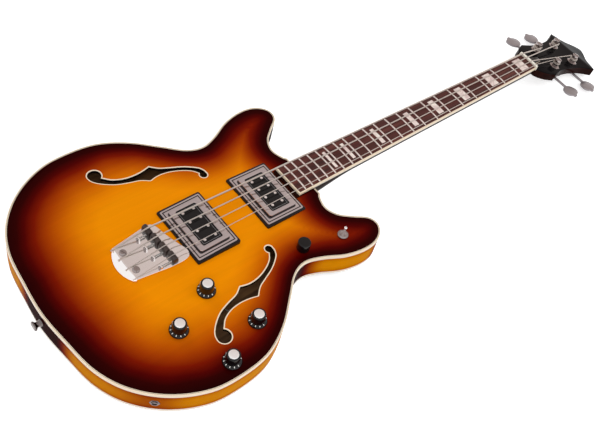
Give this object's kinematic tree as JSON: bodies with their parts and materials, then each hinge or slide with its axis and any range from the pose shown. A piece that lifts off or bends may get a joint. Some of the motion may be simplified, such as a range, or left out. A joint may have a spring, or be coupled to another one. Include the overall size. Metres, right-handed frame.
{
  "type": "semi-hollow bass guitar",
  "caption": "Thinline double-cutaway bass with f-holes, solid centre block, set neck, and turning tuners, knobs, saddle screws and switch.",
  "frame": {"origin": "on the flat of the arched back, under the saddle line, on the centre line", "axes": "+X from the tail to the headstock, +Y to the bass side, +Z out of the top"},
  "size_m": [1.1685, 0.4176, 0.1121],
  "materials": {
    "sunburst_lacquer": "amber to dark red sunburst under clear gloss lacquer",
    "inner_maple": "bare maple",
    "neck_lacquer": "dark stained wood under gloss lacquer",
    "rosewood": "oiled rosewood",
    "cream_binding": "aged cream plastic",
    "nut_bone": "polished bone",
    "black_gloss": "polished black",
    "chrome_plate": "polished chrome",
    "string_wire": "round-wound steel",
    "plain_steel": "plain zinc-coated steel"
  },
  "bodies": {
    "root": {"top_plate": "sunburst_lacquer", "back_plate": "sunburst_lacquer", "rim": "sunburst_lacquer", "centre_block": "inner_maple", "top_binding": "cream_binding", "back_binding": "cream_binding", "f_hole_binding_bass": "cream_binding", "f_hole_binding_treble": "cream_binding", "fretboard_binding": "cream_binding", "neck": "neck_lacquer", "fretboard": "rosewood", "nut": "nut_bone", "truss_rod": "plain_steel", "potentiometers": "plain_steel", "headstock_overlay": "black_gloss", "truss_rod_cover": "black_gloss", "string_e": "string_wire", "tuner_housing_e": "chrome_plate", "string_a": "string_wire", "tuner_housing_a": "chrome_plate", "string_d": "string_wire", "tuner_housing_d": "chrome_plate", "string_g": "string_wire", "tuner_housing_g": "chrome_plate", "bridge_plate": "chrome_plate", "bridge_screw_bass": "chrome_plate", "bridge_screw_treble": "chrome_plate", "output_jack": "chrome_plate", "output_jack_nut": "chrome_plate", "strap_button_tail": "chrome_plate", "strap_button_heel": "chrome_plate", "toggle_body": "chrome_plate", "bridge_pickup_surround": "black_gloss", "bridge_pickup_bobbin": "black_gloss", "bridge_pickup_cover": "chrome_plate", "neck_pickup_surround": "black_gloss", "neck_pickup_bobbin": "black_gloss", "neck_pickup_cover": "chrome_plate"},
    "tuner_key_e": {"tuner_key_e": "chrome_plate"},
    "tuner_post_e": {"tuner_post_e": "chrome_plate"},
    "tuner_key_a": {"tuner_key_a": "chrome_plate"},
    "tuner_post_a": {"tuner_post_a": "chrome_plate"},
    "tuner_key_d": {"tuner_key_d": "chrome_plate"},
    "tuner_post_d": {"tuner_post_d": "chrome_plate"},
    "tuner_key_g": {"tuner_key_g": "chrome_plate"},
    "tuner_post_g": {"tuner_post_g": "chrome_plate"},
    "saddle_screw_e": {"saddle_screw_e": "chrome_plate"},
    "saddle_e": {"saddle_e": "rosewood"},
    "saddle_screw_a": {"saddle_screw_a": "chrome_plate"},
    "saddle_a": {"saddle_a": "rosewood"},
    "saddle_screw_d": {"saddle_screw_d": "chrome_plate"},
    "saddle_d": {"saddle_d": "rosewood"},
    "saddle_screw_g": {"saddle_screw_g": "chrome_plate"},
    "saddle_g": {"saddle_g": "rosewood"},
    "neck_volume_knob": {"neck_volume_knob": "black_gloss"},
    "neck_tone_knob": {"neck_tone_knob": "black_gloss"},
    "bridge_volume_knob": {"bridge_volume_knob": "black_gloss"},
    "bridge_tone_knob": {"bridge_tone_knob": "black_gloss"},
    "master_knob": {"master_knob": "black_gloss"},
    "toggle_lever": {"toggle_lever": "chrome_plate"}
  },
  "joints": [
    {"name": "key_turn_e", "type": "hinge", "parent": "root", "child": "tuner_key_e", "pos_m": [0.84733, 0.0235, -0.00549], "axis": [0, 1, 0], "continuous": true},
    {"name": "post_turn_e", "type": "hinge", "parent": "root", "child": "tuner_post_e", "pos_m": [0.84286, 0.0235, 0.01774], "axis": [0.2756, 0, 0.9613], "continuous": true},
    {"name": "key_turn_a", "type": "hinge", "parent": "root", "child": "tuner_key_a", "pos_m": [0.91173, 0.0235, -0.02396], "axis": [0, 1, 0], "continuous": true},
    {"name": "post_turn_a", "type": "hinge", "parent": "root", "child": "tuner_post_a", "pos_m": [0.90726, 0.0235, -0.00073], "axis": [0.2756, 0, 0.9613], "continuous": true},
    {"name": "key_turn_d", "type": "hinge", "parent": "root", "child": "tuner_key_d", "pos_m": [0.91173, -0.0235, -0.02396], "axis": [0, -1, 0], "continuous": true},
    {"name": "post_turn_d", "type": "hinge", "parent": "root", "child": "tuner_post_d", "pos_m": [0.90726, -0.0235, -0.00073], "axis": [0.2756, 0, 0.9613], "continuous": true},
    {"name": "key_turn_g", "type": "hinge", "parent": "root", "child": "tuner_key_g", "pos_m": [0.84733, -0.0235, -0.00549], "axis": [0, -1, 0], "continuous": true},
    {"name": "post_turn_g", "type": "hinge", "parent": "root", "child": "tuner_post_g", "pos_m": [0.84286, -0.0235, 0.01774], "axis": [0.2756, 0, 0.9613], "continuous": true},
    {"name": "screw_turn_e", "type": "hinge", "parent": "root", "child": "saddle_screw_e", "pos_m": [-0.0235, 0.0224, 0.067], "axis": [1, 0, 0], "range_deg": [-2190, 390]},
    {"name": "saddle_slide_e", "type": "slide", "parent": "root", "child": "saddle_e", "axis": [1, 0, 0], "range_m": [-0.00085, 0.00485]},
    {"name": "screw_turn_a", "type": "hinge", "parent": "root", "child": "saddle_screw_a", "pos_m": [-0.0235, 0.0048, 0.067], "axis": [1, 0, 0], "range_deg": [-2190, 390]},
    {"name": "saddle_slide_a", "type": "slide", "parent": "root", "child": "saddle_a", "axis": [1, 0, 0], "range_m": [-0.00085, 0.00485]},
    {"name": "screw_turn_d", "type": "hinge", "parent": "root", "child": "saddle_screw_d", "pos_m": [-0.0235, -0.0128, 0.067], "axis": [1, 0, 0], "range_deg": [-2190, 390]},
    {"name": "saddle_slide_d", "type": "slide", "parent": "root", "child": "saddle_d", "axis": [1, 0, 0], "range_m": [-0.00085, 0.00485]},
    {"name": "screw_turn_g", "type": "hinge", "parent": "root", "child": "saddle_screw_g", "pos_m": [-0.0235, -0.0304, 0.067], "axis": [1, 0, 0], "range_deg": [-2190, 390]},
    {"name": "saddle_slide_g", "type": "slide", "parent": "root", "child": "saddle_g", "axis": [1, 0, 0], "range_m": [-0.00085, 0.00485]},
    {"name": "neck_volume_turn", "type": "hinge", "parent": "root", "child": "neck_volume_knob", "pos_m": [0.009, -0.0875, 0.05661], "axis": [0, 0, 1], "range_deg": [-150, 150]},
    {"name": "neck_tone_turn", "type": "hinge", "parent": "root", "child": "neck_tone_knob", "pos_m": [0.04, -0.158, 0.05104], "axis": [0, 0, 1], "range_deg": [-150, 150]},
    {"name": "bridge_volume_turn", "type": "hinge", "parent": "root", "child": "bridge_volume_knob", "pos_m": [-0.0535, -0.1155, 0.05481], "axis": [0, 0, 1], "range_deg": [-150, 150]},
    {"name": "bridge_tone_turn", "type": "hinge", "parent": "root", "child": "bridge_tone_knob", "pos_m": [-0.022, -0.186, 0.05048], "axis": [0, 0, 1], "range_deg": [-150, 150]},
    {"name": "master_turn", "type": "hinge", "parent": "root", "child": "master_knob", "pos_m": [0.165, -0.101, 0.05012], "axis": [0, 0, 1], "range_deg": [-150, 150]},
    {"name": "toggle_throw", "type": "hinge", "parent": "root", "child": "toggle_lever", "pos_m": [0.229, -0.114, 0.046], "axis": [-0.4695, 0.8829, 0], "range_deg": [-36, 0]}
  ],
  "couplings": [
    {"joint": "post_turn_e", "follows": "key_turn_e", "ratio": -0.0625},
    {"joint": "post_turn_a", "follows": "key_turn_a", "ratio": -0.0625},
    {"joint": "post_turn_d", "follows": "key_turn_d", "ratio": -0.0625},
    {"joint": "post_turn_g", "follows": "key_turn_g", "ratio": -0.0625},
    {"joint": "screw_turn_e", "follows": "saddle_slide_e", "rad_per_m": -7854},
    {"joint": "screw_turn_a", "follows": "saddle_slide_a", "rad_per_m": -7854},
    {"joint": "screw_turn_d", "follows": "saddle_slide_d", "rad_per_m": -7854},
    {"joint": "screw_turn_g", "follows": "saddle_slide_g", "rad_per_m": -7854}
  ]
}
